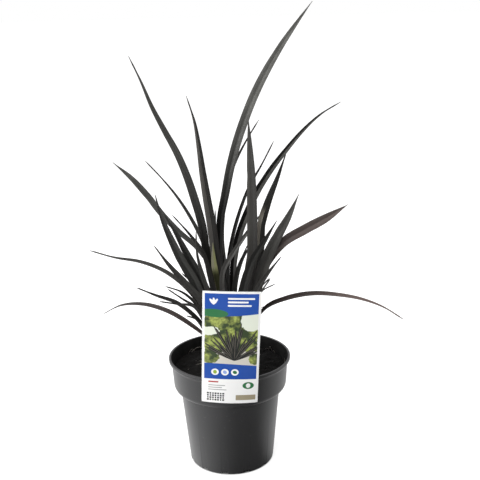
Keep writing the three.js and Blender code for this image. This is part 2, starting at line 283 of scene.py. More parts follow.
# Plastic, peat, bark and root: dark and lighter patches with fine specks
def speckledMaterial(name, finish):
    material, tree, shader = newMaterial(name, finish["roughness"])
    patches = mottled(tree, *finish["patches"])
    colour = mixColour(tree, patches["Mask"], finish["dark"], finish["light"])
    low, high, share = finish["specks"]
    specks = times(tree, steps(tree, patches["Grain"], low, high), share)
    colour = mixColour(tree, specks, colour, finish["speck"])
    setInputs(tree, shader, {"Base Color": colour, "Specular IOR Level": finish["specular"]})
    if "wear" in finish:
        rougher = times(tree, patches["Mask"], finish["wear"])
        rough = mathNode(tree, "ADD", rougher, finish["roughness"] - finish["wear"] / 2)
        setInputs(tree, shader, {"Roughness": rough})
    addBump(tree, shader, patches["Grain"], *finish["bump"])
    return material


# Leaf finishes: near black, red brown and pale young growth, each with an upper side, underside and margin

leafFinish = {
    "leaf_dark": {
        "upper": (0.013, 0.013, 0.012),
        "streak": (0.027, 0.027, 0.0245),
        "warm": (0.075, 0.048, 0.042),
        "light": (0.090, 0.090, 0.084),
        "under": 1.3,  # how many times as light the underside is
        "margin": (0.034, 0.030, 0.027),
    },
    "leaf_bronze": {
        "upper": (0.020, 0.017, 0.0155),
        "streak": (0.034, 0.029, 0.027),
        "warm": (0.120, 0.083, 0.074),
        "light": (0.105, 0.096, 0.088),
        "under": 1.3,
        "margin": (0.022, 0.012, 0.011),
    },
    "leaf_pale": {
        "upper": (0.150, 0.160, 0.060),
        "streak": (0.230, 0.240, 0.110),
        "warm": (0.200, 0.160, 0.090),
        "light": (0.300, 0.300, 0.170),
        "under": 1.1,
        "margin": (0.060, 0.050, 0.030),
    },
}
dryLeaf = {"dark": (0.300, 0.270, 0.220), "light": (0.620, 0.580, 0.500)}
leafPaint = {
    "patches": (0.03, 1.8),
    "patchEdges": (0.2, 0.8),
    "leastPale": 0.55,  # share of a leaf's paleness that is left between its pale patches
    "rib": 0.5,
    "margin": 0.6,
    "roughness": 0.48,
    "streakRoughness": 0.1,
    "gloss": (0.08, 0.36),  # where the leaf is in the dark at its foot, and where it is in full light
    "bump": (0.25, 0.0002),
}


def leafMaterial(slotName, side):
    finish = leafFinish[slotName]
    material, tree, shader = newMaterial(slotName + "_" + side, leafPaint["roughness"])
    pattern = placeGroup(tree, bladePattern, Map=coordinates(tree, "UV"))
    patches = mottled(tree, *leafPaint["patches"])
    tone = addNode(tree, "Attribute", attribute_name="tone")["Vector"]
    red, pale, dry = addNode(tree, "SeparateXYZ", {0: tone})
    shade = addNode(tree, "Attribute", attribute_name="shade")["Fac"]
    strength = finish["under"] if side == "under" else 1.0
    upper, streak, warm, light = (
        tuple(strength * part for part in finish[key]) for key in ("upper", "streak", "warm", "light")
    )
    colour = mixColour(tree, pattern["Streak"], upper, streak)
    colour = mixColour(tree, red, colour, warm)
    patchShare = steps(tree, patches["Mask"], *leafPaint["patchEdges"], leafPaint["leastPale"], 1.0)
    colour = mixColour(tree, times(tree, pale, patchShare), colour, light)
    ribShare = times(tree, pattern["Rib"], leafPaint["rib"])
    colour = mixColour(tree, ribShare, colour, finish["margin"] if side == "upper" else light)
    # painted light and shade: the shade attribute darkens or lightens the leaf's colour
    colour = vectorNode(tree, "MULTIPLY", colour, shade)
    dryColour = mixColour(tree, pattern["Streak"], dryLeaf["dark"], dryLeaf["light"])
    colour = mixColour(tree, dry, colour, dryColour)
    marginShare = times(tree, pattern["Margin"], leafPaint["margin"])
    rougher = times(tree, pattern["Streak"], leafPaint["streakRoughness"])
    results = {
        "Base Color": mixColour(tree, marginShare, colour, finish["margin"]),
        "Roughness": mathNode(tree, "ADD", rougher, leafPaint["roughness"]),
        "Specular IOR Level": steps(tree, shade, 0.0, 1.0, *leafPaint["gloss"]),
    }
    setInputs(tree, shader, results)
    addBump(tree, shader, pattern["Height"], *leafPaint["bump"])
    return material


leafMaterials = {
    slotName: [leafMaterial(slotName, side) for side in ("upper", "under")] for slotName in leafFinish
}


# Leaves: each stands exactly where its plain blade stands in the frame

blade = {
    "columns": 14,
    "crowding": 1.6,  # power that draws the columns together at the midrib
    "rowLength": 4 * mm,
    "fewestRows": 26,
    "sunk": 3 * mm,  # how far the foot reaches down among the crown's fibres
    "midrib": 1.1 * mm,
    "margin": 0.45 * mm,
    "ribWidth": 0.12,
    "arch": 0.07,  # how far each half of the blade bows, as a share of its width
    "ripple": 0.08,
    "rippleLength": 70 * mm,
    "sway": 0.5 * mm,
    "swayOften": 1.6,  # sways in the length of a ripple
    "swayStart": 0.2,
    "apart": (3.1, 7.7),  # keeps the two halves' ripples, and the sway, from being alike
    "nicks": 2,
    "nickPlace": (0.25, 0.95),
    "nickDepth": (0.03, 0.1),
    "nickLength": 0.02,
    "slimmest": 1.0 * mm,  # half the width that a thin blade keeps until it runs out in a point
    "point": (0.35, 0.97),  # share of that at the very end, and where along the blade the point starts
}

# What sets a leaf apart from its foot to its tip: redness, paleness, how light its left and right halves
# or both are, as seen from its upper side, and the shares of its length between which that changes. How
# light the halves are is painted light and shade: dark at the foot among the other leaves, and one half of
# a fold lighter or darker as the light falls on it. Dry gives the half with a dry patch, as -1 for left and
# 1 for right, the shares of the length that the patch lies between, and how strong it is.
leafLooks = {
    "near_fan_left_leaf_1": {"left": (1.2, 2.2), "right": (0.3, 0.4)},
    "near_fan_left_leaf_2": {"left": (0.6, 0.9), "right": (0.4, 0.5)},
    "near_fan_left_leaf_3": {"left": (0.4, 1), "right": (0.5, 0.8)},
    "near_fan_left_leaf_4": {"pale": (0.2, 0.5), "left": (0.2, 1.6), "right": (0.2, 1.5)},
    "near_fan_right_leaf_1": {"both": (0.15, 0.3)},
    "near_fan_right_leaf_2": {"left": (0.5, 0.7), "right": (0.1, 0.4), "dry": (-1, 0.46, 0.76, 1)},
    "near_fan_right_leaf_3": {"left": (0.2, 0.5), "right": (0.2, 0.6)},
    "front_fan_left_leaf_1": {"both": (0.1, 0.9), "change": (0.75, 0.83), "dry": (-1, 0.78, 1.1, 0.4)},
    "front_fan_left_leaf_3": {"left": (0.4, 0.9), "right": (0.5, 1.1)},
    "front_fan_right_leaf_1": {"left": (1.1, 1.7), "right": (0.4, 0.8), "change": (0.3, 0.85)},
    "front_fan_right_leaf_2": {"left": (0.3, 1.6), "right": (0.2, 1.6)},
    "middle_fan_left_leaf_2": {"left": (0.4, 1.9), "right": (0.3, 1.6), "change": (0.35, 0.7)},
    "middle_fan_left_leaf_4": {"warm": (0.8, 0.1), "both": (0.4, 0.6)},
    "middle_fan_right_leaf_1": {
        "left": (0.25, 2.1),
        "right": (0.15, 2),
        "pale": (0.1, 0.7),
        "change": (0.4, 0.75),
    },
    "middle_fan_right_leaf_3": {
        "warm": (0.05, 0.3),
        "left": (0.2, 0.9),
        "right": (0.2, 1.2),
        "change": (0.4, 0.95),
    },
    "middle_fan_right_leaf_4": {"warm": (0.05, 0.65), "both": (0.4, 1.6), "change": (0.5, 0.9)},
    "back_fan_left_leaf_1": {"pale": (0.2, 0.5), "left": (0.3, 1.5), "right": (0.3, 1.4)},
    "back_fan_right_leaf_1": {"both": (0.1, 0.3)},
    "back_fan_right_leaf_2": {"left": (0.15, 0.3), "right": (0.8, 1.4), "pale": (0.1, 0.5)},
    "back_fan_right_leaf_3": {"both": (0.1, 0.6)},
    "left_shoot_right_leaf_1": {"left": (0.5, 0.8), "right": (0.5, 1)},
    "right_shoot_right_leaf_1": {"warm": (0.1, 0), "left": (0.1, 0.4), "right": (0.2, 0.4)},
    "right_shoot_right_leaf_2": {"left": (0.2, 0.6), "right": (0.2, 0.5)},
}
plainLook = {
    "warm": (0.06, 0.03),
    "pale": (0.1, 0.25),
    # left and right: painted shade, dark at the foot and lighter towards the tip
    "left": (0.15, 0.9),
    "right": (0.12, 0.8),
    "change": (0.15, 0.6),
    "dry": (0, 0, 1, 0),
}
toning = {
    "jitter": 0.05,
    "redness": (0.1, 0.75),  # shares of the length between which it changes
    "patchEnds": (0.05, 0.08),
    "dryTip": (0.975, 1.0),  # where it starts
    "dryTipEnd": 0.03,
    "dryTipShare": 0.25,
}


def unseen(vert, known):
    return [edge.other_vert(vert) for edge in vert.link_edges if edge.other_vert(vert) not in known]


# The blade's shell is a stack of six-cornered sections: midrib, a margin's two corners, midrib, the other's
def footSection(shell):
    low = min(vert.co.z for vert in shell.verts)
    cap = {vert for vert in shell.verts if vert.co.z < low + tiny}
    corner = max(cap, key=lambda vert: sum(edge.other_vert(vert) in cap for edge in vert.link_edges))
    ring = [corner]
    while len(ring) < len(cap):
        for edge in ring[-1].link_edges:
            other = edge.other_vert(ring[-1])
            capFaces = sum(all(vert in cap for vert in face.verts) for face in edge.link_faces)
            if capFaces == 1 and other in cap and other not in ring:
                ring.append(other)
                break
    return ring


# The section above: a midrib corner has one new neighbour, and the others follow as those are taken
def nextSection(ring, known):
    above = {vert for corner in ring for vert in unseen(corner, known)}
    if len(above) < len(ring):
        return None, above
    found = {}
    while len(found) < len(ring):
        for corner in set(ring) - set(found):
            choice = unseen(corner, known | set(found.values()))
            if len(choice) == 1:
                found[corner] = choice[0]
    return [found[corner] for corner in ring], above


def readBlade(node):
    shell = bmesh.new()
    shell.from_mesh(node.data)
    bmesh.ops.remove_doubles(shell, verts=shell.verts, dist=tiny)
    ring = footSection(shell)
    known = set(ring)
    sections = []
    while ring:
        corners = [corner.co.copy() for corner in ring]
        middle = (corners[0] + corners[3]) / 2
        one = (corners[1] + corners[2]) / 2 - middle
        other = (corners[4] + corners[5]) / 2 - middle
        sections.append([middle, one, other, (corners[0] - corners[3]).normalized()])
        ring, above = nextSection(ring, known)
        known |= above
    tip = above.pop().co.copy()
    sections.append([tip, Vector(), Vector(), sections[-1][3]])
    shell.free()
    middles, ones, others, ups = (list(column) for column in zip(*sections))
    across = (ones[0] - others[0]).cross(middles[1] - middles[0])
    return [middles, ones, others, ups] if across.dot(ups[0]) > 0 else [middles, others, ones, ups]


# A smooth curve through evenly spaced values
def curveThrough(values, place):
    last = len(values) - 1
    i = min(max(int(place * last), 0), last - 1)
    t = place * last - i
    a, b = values[i], values[i + 1]
    before = values[i - 1] if i > 0 else a * 2 - b
    after = values[i + 2] if i + 2 <= last else b * 2 - a
    bend = (before * 2 - a * 5 + b * 4 - after) * (t * t) + (a * 3 - before - b * 3 + after) * t**3
    return a + ((b - before) * t + bend) * 0.5


def bladeLength(middles):
    return sum((b - a).length for a, b in zip(middles, middles[1:]))


def nickAt(nicks, side, u):
    depth = 0
    for place, nickSide, share in nicks:
        if nickSide == side:
            depth += share * math.exp(-(((u - place) / blade["nickLength"]) ** 2))
    return depth


# The way and the width of half a blade; the way stays as it is where the last section runs out in a point
def halfBlade(halves, inside):
    lastWhole = (len(halves) - 2) / (len(halves) - 1)
    direction = curveThrough(halves, min(inside, lastWhole)).normalized()
    pointShare, pointStart = blade["point"]
    slimmest = blade["slimmest"] * blendValue(pointShare, 1, ease(1, pointStart, inside))
    return direction, max(curveThrough(halves, inside).dot(direction), slimmest)


def bladePoint(shape, length, seed, nicks, across, y):
    middles, rights, lefts, ups = shape
    u = blendValue(-blade["sunk"] / length, 1, y)
    inside = max(u, 0)
    middle = curveThrough(middles, inside)
    middle.z += min(u, 0) * length
    side = 1 if across > 0 else -1
    direction, width = halfBlade(rights if side > 0 else lefts, inside)
    half = direction * width
    up = curveThrough(ups, inside)
    lift = (up - half * (up.dot(half) / width**2)).normalized()
    share = abs(across)
    half = half * (1 - nickAt(nicks, side, u))
    bow = blade["arch"] * 4 * share * (1 - share)  # highest midway
    halfApart, swayApart = blade["apart"]
    along = u * length / blade["rippleLength"]
    wave = noise.noise(Vector((seed, side * halfApart, along)))
    sway = noise.noise(Vector((seed + swayApart, 0, blade["swayOften"] * along)))
    lifted = lift * width * (bow + blade["ripple"] * wave * share * share)
    return middle + half * share + lifted + up * (blade["sway"] * sway * ease(0, blade["swayStart"], u))


# Red, pale and dry shares for the leaf's material, and its shade: painted light and shade on each half of
# the blade
def paintTone(piece, look, dice):
    jitter = dice.uniform(-toning["jitter"], toning["jitter"])
    dryTip = dice.uniform(*toning["dryTip"])
    patchSide, patchFrom, patchTo, patchShare = look["dry"]
    fadeIn, fadeOut = toning["patchEnds"]
    tones, shades = [], []
    for vert in piece.data.vertices:
        along = min(max(vert.co.y + 0.5, 0), 1)
        red = min(max(blendValue(*look["warm"], ease(*toning["redness"], along)) + jitter, 0), 1)
        pale = min(max(blendValue(*look["pale"], along) + jitter, 0), 1)
        inPatch = ease(patchFrom, patchFrom + fadeIn, along) * ease(patchTo, patchTo - fadeOut, along)
        patch = patchShare * inPatch * (vert.co.x * patchSide > 0)
        tip = toning["dryTipShare"] * ease(dryTip, dryTip + toning["dryTipEnd"], along)
        tones += [red, pale, max(patch, tip)]
        # painted light and shade for this half of the blade, changing from foot to tip
        light = look.get("both") or look["left" if vert.co.x < 0 else "right"]
        shades.append(blendValue(*light, ease(*look["change"], along)) * (1 + jitter))
    piece.data.attributes.new("tone", "FLOAT_VECTOR", "POINT").data.foreach_set("vector", tones)
    piece.data.attributes.new("shade", "FLOAT", "POINT").data.foreach_set("value", shades)


def buildLeaf(name, slotName):
    dice = random.Random(name)
    shape = readBlade(frame["nodes"][name])
    length = bladeLength(shape[0])
    rows = max(blade["fewestRows"], round(length / blade["rowLength"]))
    piece = gridPiece(blade["columns"], rows)
    piece.name = piece.data.name = name + "_blade"
    paintTone(piece, {**plainLook, **leafLooks.get(name, {})}, dice)
    seed = dice.uniform(0, 50)
    nicks = [
        (dice.uniform(*blade["nickPlace"]), dice.choice((-1, 1)), dice.uniform(*blade["nickDepth"]))
        for _ in range(blade["nicks"])
    ]
    ribs = piece.vertex_groups.new(name="rib")
    places = {}
    for vert in piece.data.vertices:
        t = vert.co.x * 2
        across = math.copysign(abs(t) ** blade["crowding"], t)
        y = vert.co.y + 0.5
        places[vert.index] = (across, y * length)
        ribs.add([vert.index], ease(blade["ribWidth"], 0, abs(across)) if abs(across) < 1 else 0, "REPLACE")
        vert.co = bladePoint(shape, length, seed, nicks, across, y)
    mapPiece(piece, places)
    addMaterials(piece, *leafMaterials[slotName])
    thinner = blade["margin"] / blade["midrib"]
    addWall(piece, blade["midrib"], vertex_group="rib", thickness_vertex_group=thinner, material_offset=1)
    piece.vertex_groups.clear()
    smoothUnder(piece, 50)
    return piece


leafSlots = {
    row["node"]: row["material_slot"] for row in frame["record"]["subparts"] if "_leaf_" in row["node"]
}
for name, slotName in sorted(leafSlots.items()):
    settle(buildLeaf(name, slotName), slotName, name)
print("leaves:", len(leafSlots))


# Pot: a thin wall with a wide collar, slots round its foot and holes in its floor

pot = {
    "foot": 58.2 * mm,
    "bodyFoot": (59.9 * mm, 2.4 * mm),
    "bends": [
        # start, corner that the curve is pulled to, and end of each bend up the side
        ((69.8 * mm, 105 * mm), (70.2 * mm, 109.2 * mm), (73.8 * mm, 109.8 * mm)),
        ((73.8 * mm, 109.8 * mm), (78.6 * mm, 110.4 * mm), (79.6 * mm, 117 * mm)),
        ((81.6 * mm, 146 * mm), (81.9 * mm, 149.4 * mm), (84.8 * mm, 151 * mm)),
    ],
    "bendSteps": 7,
    "lip": {"foot": (85.5 * mm, 152 * mm), "top": 155.2 * mm, "inner": 82.6 * mm, "inside": 149 * mm},
    "wall": 1.5 * mm,
    "floor": 1.8 * mm,
    "turns": 144,
    "edge": {"width": 0.5 * mm, "segments": 2, "over": 35},
    "insideShadeTop": 153.6 * mm,
    "inwards": -0.5,  # cosine under which a face looks at the pot's middle
    "slots": {"count": 12, "size": (10 * mm, 12 * mm, 8 * mm), "radius": 60 * mm, "first": -10},
    "holes": {"count": 4, "radius": 5 * mm, "ring": 32 * mm},
}
potFinish = {
    "potPlastic": {
        "dark": (0.012, 0.012, 0.013),
        "light": (0.016, 0.016, 0.017),
        "patches": (0.05, 1.4),
        "speck": (0.16, 0.15, 0.14),
        "specks": (0.68, 0.74, 0.12),  # from what height of the grain they start and are full, and how full
        "roughness": 0.36,
        "wear": 0.06,
        "specular": 0.5,
        "bump": (0.06, 0.0002),
    },
    "potInsideShade": {
        # painted shade: the inside of the wall, darker than the same plastic outside, with specks of damp
        # peat that sticks to it
        "dark": (0.0025, 0.0025, 0.0025),
        "light": (0.007, 0.0068, 0.0065),
        "patches": (0.012, 3),
        "speck": (0.12, 0.10, 0.08),
        "specks": (0.7, 0.78, 0.3),
        "roughness": 0.85,
        "specular": 0.15,
        "bump": (0.4, 0.0006),
    },
}


def spunPiece(name, outline, turns):
    points = [(radius, 0, height) for radius, height in outline]
    edges = [(i, i + 1) for i in range(len(points) - 1)]
    piece = meshPiece(name, points, edges, [])
    selectOnly(piece)
    bpy.ops.object.mode_set(mode="EDIT")
    bpy.ops.mesh.select_all(action="SELECT")
    bpy.ops.mesh.spin(steps=turns, angle=fullTurn, center=(0, 0, 0), axis=(0, 0, 1))
    bpy.ops.mesh.select_all(action="SELECT")
    bpy.ops.mesh.remove_doubles(threshold=tiny)
    bpy.ops.mesh.normals_make_consistent(inside=False)
    bpy.ops.object.mode_set(mode="OBJECT")
    return piece


# The side from the foot to under the lip, moved inwards, and upwards where it is a shelf
def potSide(inset):
    side = [pot["bodyFoot"]]
    for bend in pot["bends"]:
        for i in range(pot["bendSteps"] + 1):
            t = i / pot["bendSteps"]
            weights = ((1 - t) ** 2, 2 * t * (1 - t), t * t)
            side.append(tuple(sum(w * end[k] for w, end in zip(weights, bend)) for k in range(2)))
    moved = []
    for i, (radius, height) in enumerate(side):
        before, after = Vector(side[max(i - 1, 0)]), Vector(side[min(i + 1, len(side) - 1)])
        along = (after - before).normalized()
        moved.append((radius - inset * along.y, height + inset * along.x))
    return moved


def cutAway(piece, cutters):
    cutter = joinPieces(cutters, "cutter")
    selectOnly(cutter)
    bpy.ops.object.transform_apply(location=True, rotation=True, scale=True)
    cut = piece.modifiers.new("cut", "BOOLEAN")
    cut.operation = "DIFFERENCE"
    cut.solver = "EXACT"
    cut.object = cutter
    applyModifiers(piece)
    bpy.data.objects.remove(cutter)


def potCutters():
    slots, holes = pot["slots"], pot["holes"]
    cutters = []
    for i in range(slots["count"]):
        angle = math.radians(slots["first"]) + i * fullTurn / slots["count"]
        place = (slots["radius"] * math.sin(angle), -slots["radius"] * math.cos(angle), 0)
        bpy.ops.mesh.primitive_cube_add(size=1, location=place, rotation=(0, 0, angle), scale=slots["size"])
        cutters.append(bpy.context.object)
    for i in range(holes["count"]):
        place = ringPlace(holes["ring"], i * fullTurn / holes["count"])
        bpy.ops.mesh.primitive_cylinder_add(radius=holes["radius"], depth=4 * pot["floor"], location=place)
        cutters.append(bpy.context.object)
    return cutters


def roundEdges(piece, edge):
    rounding = piece.modifiers.new("rounding", "BEVEL")
    rounding.width = edge["width"]
    rounding.segments = edge["segments"]
    rounding.limit_method = "ANGLE"
    rounding.angle_limit = math.radians(edge["over"])
    applyModifiers(piece)


def buildPot():
    lip = pot["lip"]
    outside = [(0, 0), (pot["foot"], 0), *potSide(0), lip["foot"]]
    edge = [(lip["foot"][0], lip["top"]), (lip["inner"], lip["top"])]
    side = [point for point in potSide(pot["wall"]) if point[1] < lip["inside"]]
    inside = [*reversed(side), (pot["foot"] - pot["wall"], pot["floor"]), (0, pot["floor"])]
    piece = spunPiece("pot_shell", [*outside, *edge, *inside], pot["turns"])
    cutAway(piece, potCutters())
    addMaterials(piece, *(speckledMaterial(name, finish) for name, finish in potFinish.items()))
    for face in piece.data.polygons:
        away = Vector((face.center.x, face.center.y, 0))
        inwards = face.normal.dot(away) < pot["inwards"] * away.length
        # painted shade: faces that look inwards below the lip take the darker inside material
        face.material_index = int(inwards and face.center.z < pot["insideShadeTop"])
    roundEdges(piece, pot["edge"])
    smoothUnder(piece, 30)
    return piece


settle(buildPot(), "pot", "pot")
print("pot: done")


# Potting mix: a rough dark bed with bark, a few pale grains and root fibres

bed = {
    "top": 138.6 * mm,
    "edgeRadius": 79.1 * mm,
    "edgeTop": 138 * mm,
    "rings": 34,
    "turns": 150,
    "clods": 2.2 * mm,
    "clodSize": 11 * mm,
    "crumbs": 0.9 * mm,
    "crumbSize": 3.2 * mm,
    "edgeWidth": 8 * mm,  # where it gets calmer and lower towards the wall
    "edgeCalm": 0.35,
    "edgeDip": 1.2 * mm,
    "base": (51.5 * mm, 2.1 * mm),
    "gap": 0.3 * mm,
}


def bedHeight(x, y):
    place = Vector((x, y, 0))
    clods = noise.noise(place / bed["clodSize"]) * bed["clods"]
    crumbs = noise.noise(place / bed["crumbSize"]) * bed["crumbs"]
    edge = ease(bed["edgeRadius"], bed["edgeRadius"] - bed["edgeWidth"], place.length)
    rough = (clods + crumbs) * blendValue(bed["edgeCalm"], 1, edge)
    return bed["top"] + rough - (1 - edge) * bed["edgeDip"]


# A spun block whose flat top is lifted to a rough ground
def groundPiece(name, below, radius, top, rings, turns, height):
    flat = [(radius * (1 - i / rings), top) for i in range(rings + 1)]
    piece = spunPiece(name, [*below, *flat], turns)
    for vert in piece.data.vertices:
        if vert.co.z > top - tiny:
            vert.co.z = height(vert.co.x, vert.co.y)
    return piece


def buildBed():
    wall = [point for point in potSide(pot["wall"] + bed["gap"]) if point[1] < bed["edgeTop"]]
    below = [(0, bed["base"][1]), bed["base"], *wall]
    size = (bed["edgeRadius"], bed["edgeTop"], bed["rings"], bed["turns"])
    piece = groundPiece("potting_mix_bed", below, *size, bedHeight)
    addMaterials(piece, soilMaterial("peat"))
    smoothUnder(piece, 60)
    return piece


# What peat, bark, grains and roots share, and the dark and light colour, roughness and patch size of each
soilFinish = {"contrast": 2.5, "specks": (0.62, 0.72, 0.4), "specular": 0.2, "bump": (0.7, 0.0008)}
speckLight = 3  # the specks are so many times as light as the light patches
soilKinds = {
    # peat and bark: near black, partly their own dark colour and partly painted shade in the pot's hollow
    "peat": ((0.002, 0.0019, 0.0018), (0.0042, 0.0038, 0.0034), 0.95, 0.005),
    "bark": ((0.0025, 0.0023, 0.002), (0.008, 0.0065, 0.005), 0.85, 0.006),
    "paleGrain": ((0.16, 0.15, 0.13), (0.34, 0.32, 0.29), 0.9, 0.003),
    "rootFibre": ((0.14, 0.125, 0.105), (0.36, 0.34, 0.30), 0.8, 0.004),
    "crownFibre": ((0.009, 0.007, 0.005), (0.038, 0.028, 0.019), 0.85, 0.006),
}
bits = {
    "bark": {
        "finish": "bark",
        "count": 230,
        "size": (1.3 * mm, 4.2 * mm),
        "flat": 0.38,
        "rise": 0.25,  # how high its middle lies over the mix, as a share of its height
        "level": 2,
    },
    "grain": {
        "finish": "paleGrain",
        "count": 10,
        "size": (0.7 * mm, 1.5 * mm),
        "flat": 0.8,
        "rise": 0.3,
        "level": 1,
    },
}
bitShape = {
    "from": 20 * mm,
    "short": 4 * mm,  # how far from the bed's edge the last ones lie
    "width": (0.35, 0.8),
    "tilt": 0.4,
    "lumps": 0.55,
    "lumpSize": 0.45,
}


def soilMaterial(kind):
    dark, light, roughness, size = soilKinds[kind]
    own = {
        "dark": dark,
        "light": light,
        "speck": tuple(speckLight * part for part in light),
        "patches": (size, soilFinish["contrast"]),
        "roughness": roughness,
    }
    return speckledMaterial(kind, {**soilFinish, **own})


def scatterSpot(dice, low, high):
    radius = math.sqrt(blendValue(low**2, high**2, dice.random()))
    return ringPlace(radius, dice.uniform(0, fullTurn))[:2]


def buildBits(kind):
    dice = random.Random(kind)
    bit = bits[kind]
    tilt = bitShape["tilt"]
    pieces = []
    for _ in range(bit["count"]):
        size = dice.uniform(*bit["size"])
        x, y = scatterSpot(dice, bitShape["from"], bed["edgeRadius"] - bitShape["short"])
        place = (x, y, bedHeight(x, y) + size * bit["flat"] * bit["rise"])
        bpy.ops.mesh.primitive_ico_sphere_add(subdivisions=bit["level"], radius=size / 2, location=place)
        piece = bpy.context.object
        piece.scale = (1, dice.uniform(*bitShape["width"]), bit["flat"])
        lean = (dice.uniform(-tilt, tilt), dice.uniform(-tilt, tilt))
        piece.rotation_euler = (*lean, dice.uniform(0, fullTurn))
        seed = Vector((dice.uniform(0, 90), 0, 0))
        for vert in piece.data.vertices:
            lump = noise.noise(vert.co / (bitShape["lumpSize"] * size) + seed)
            vert.co *= 1 + bitShape["lumps"] * lump
        pieces.append(piece)
    whole = joinPieces(pieces, "potting_mix_" + kind)
    bpy.ops.object.transform_apply(location=True, rotation=True, scale=True)
    addMaterials(whole, soilMaterial(bit["finish"]))
    smoothUnder(whole, 35)
    return whole


strand = {"sides": 5, "radius": 0.22 * mm, "steps": 9, "thinEnd": 0.45, "thickness": (0.6, 1.4)}


# A thin closed tube along a list of points, thinner at both ends
def strandParts(points, radius, offset):
    verts, faces = [], []
    sides = strand["sides"]
    for i, point in enumerate(points):
        direction = (points[min(i + 1, len(points) - 1)] - points[max(i - 1, 0)]).normalized()
        first = direction.orthogonal().normalized()
        second = direction.cross(first)
        middle = math.sin(math.pi * i / (len(points) - 1))
        thickness = radius * blendValue(strand["thinEnd"], 1, middle)
        for k in range(sides):
            angle = fullTurn * k / sides
            verts.append(point + (first * math.cos(angle) + second * math.sin(angle)) * thickness)
    for i in range(len(points) - 1):
        for k in range(sides):
            a, b = offset + i * sides + k, offset + i * sides + (k + 1) % sides
            faces.append((a, b, b + sides, a + sides))
    last = offset + (len(points) - 1) * sides
    faces.append(tuple(offset + k for k in reversed(range(sides))))
    faces.append(tuple(last + k for k in range(sides)))
    return verts, faces


fibres = {
    "count": 9,
    "length": (7 * mm, 22 * mm),
    "from": 22 * mm,
    "short": 6 * mm,  # how far from the bed's edge the last ones start
    "bend": 1.3,
    "rise": 2.2 * mm,
    "least": 0.2,  # smallest rise, as a share of the largest
    "over": 0.1 * mm,
    "wallGap": 1 * mm,
}
wallRoots = {
    "count": 20,
    "length": (8 * mm, 26 * mm),
    "radius": 79.8 * mm,
    "rise": 10 * mm,
    "least": 0.3,
    "sunk": 1 * mm,
    "gap": 1 * mm,
    "wave": (0.8 * mm, 4),  # how far a root wanders off the wall, and how often
}


def fibrePath(dice):
    x, y = scatterSpot(dice, fibres["from"], bed["edgeRadius"] - fibres["short"])
    length = dice.uniform(*fibres["length"])
    heading = dice.uniform(0, fullTurn)
    curl = dice.uniform(-fibres["bend"], fibres["bend"])
    rise = dice.uniform(fibres["least"], 1) * fibres["rise"]
    points = []
    for i in range(strand["steps"]):
        share = i / (strand["steps"] - 1)
        height = bedHeight(x, y) + rise * math.sin(math.pi * share) + fibres["over"]
        points.append(Vector((x, y, height)))
        x += math.cos(heading + curl * share) * length / strand["steps"]
        y += math.sin(heading + curl * share) * length / strand["steps"]
        reach = math.hypot(x, y) / (bed["edgeRadius"] - fibres["wallGap"])
        if reach > 1:
            x, y = x / reach, y / reach
    return points


def wallRootPath(dice):
    angle = dice.uniform(0, fullTurn)
    turn = dice.uniform(*wallRoots["length"]) / wallRoots["radius"]
    rise = dice.uniform(wallRoots["least"], 1) * wallRoots["rise"]
    wander, often = wallRoots["wave"]
    points = []
    for i in range(strand["steps"]):
        share = i / (strand["steps"] - 1)
        reach = wallRoots["radius"] - wallRoots["gap"] - wander * math.sin(often * share)
        height = bed["edgeTop"] - wallRoots["sunk"] + rise * math.sin(math.pi * share)
        points.append(Vector(ringPlace(reach, angle, height)))
        angle += turn / strand["steps"]
    return points


def buildFibres():
    dice = random.Random("fibres")
    verts, faces = [], []
    paths = [fibrePath(dice) for _ in range(fibres["count"])]
    paths += [wallRootPath(dice) for _ in range(wallRoots["count"])]
    for path in paths:
        radius = strand["radius"] * dice.uniform(*strand["thickness"])
        more, skin = strandParts(path, radius, len(verts))
        verts += more
        faces += skin
    piece = meshPiece("potting_mix_fibres", verts, [], faces)
    addMaterials(piece, soilMaterial("rootFibre"))
    smoothUnder(piece, 60)
    return piece


settle(buildBed(), "potting_mix", "potting_mix")
for kind in bits:
    settle(buildBits(kind), "potting_mix")
settle(buildFibres(), "potting_mix")
print("potting mix: done")


# Crown: the short rhizome, a lumpy fibrous mound with the dry bases of old leaves round it

crown = {
    "radius": 33 * mm,
    "top": 144.4 * mm,
    "foot": 129 * mm,
    "rings": 22,
    "turns": 96,
    "lumps": 2.6 * mm,
    "lumpSize": 7 * mm,
    "lumpPlace": Vector((9, 4, 0)),  # keeps the crown's lumps from being those of the mix
    "shoulder": 0.55,
    "fall": 7 * mm,
    "footShare": 0.8,
}
scales = {
    "count": 44,
    "grid": (6, 9),
    "reach": (9 * mm, 27 * mm),
    "squeeze": 0.75,  # they stand closer from left to right
    "stray": 0.6,
    "width": (4 * mm, 8 * mm),
    "height": (8 * mm, 24 * mm),
    "lean": (0.1, 0.5),
    "curl": (0.06, 0.33),
    "sunk": 1.5 * mm,
    "tear": (0.3, 2.2),  # how deep and how often the tip is torn
    "taper": (0.75, 1.6),  # how much narrower the tip is, and how late that shows
    "cup": 1.6 * mm,
    "thickness": 0.35 * mm,
}


def crownHeight(x, y):
    place = Vector((x, y, 0))
    fall = ease(crown["radius"] * crown["shoulder"], crown["radius"], place.length) * crown["fall"]
    lumps = noise.noise(place / crown["lumpSize"] + crown["lumpPlace"]) * crown["lumps"]
    return crown["top"] - fall + lumps


def buildMound():
    below = [(0, crown["foot"]), (crown["radius"] * crown["footShare"], crown["foot"])]
    size = (crown["radius"], crown["top"], crown["rings"], crown["turns"])
    return groundPiece("crown_mound", below, *size, crownHeight)


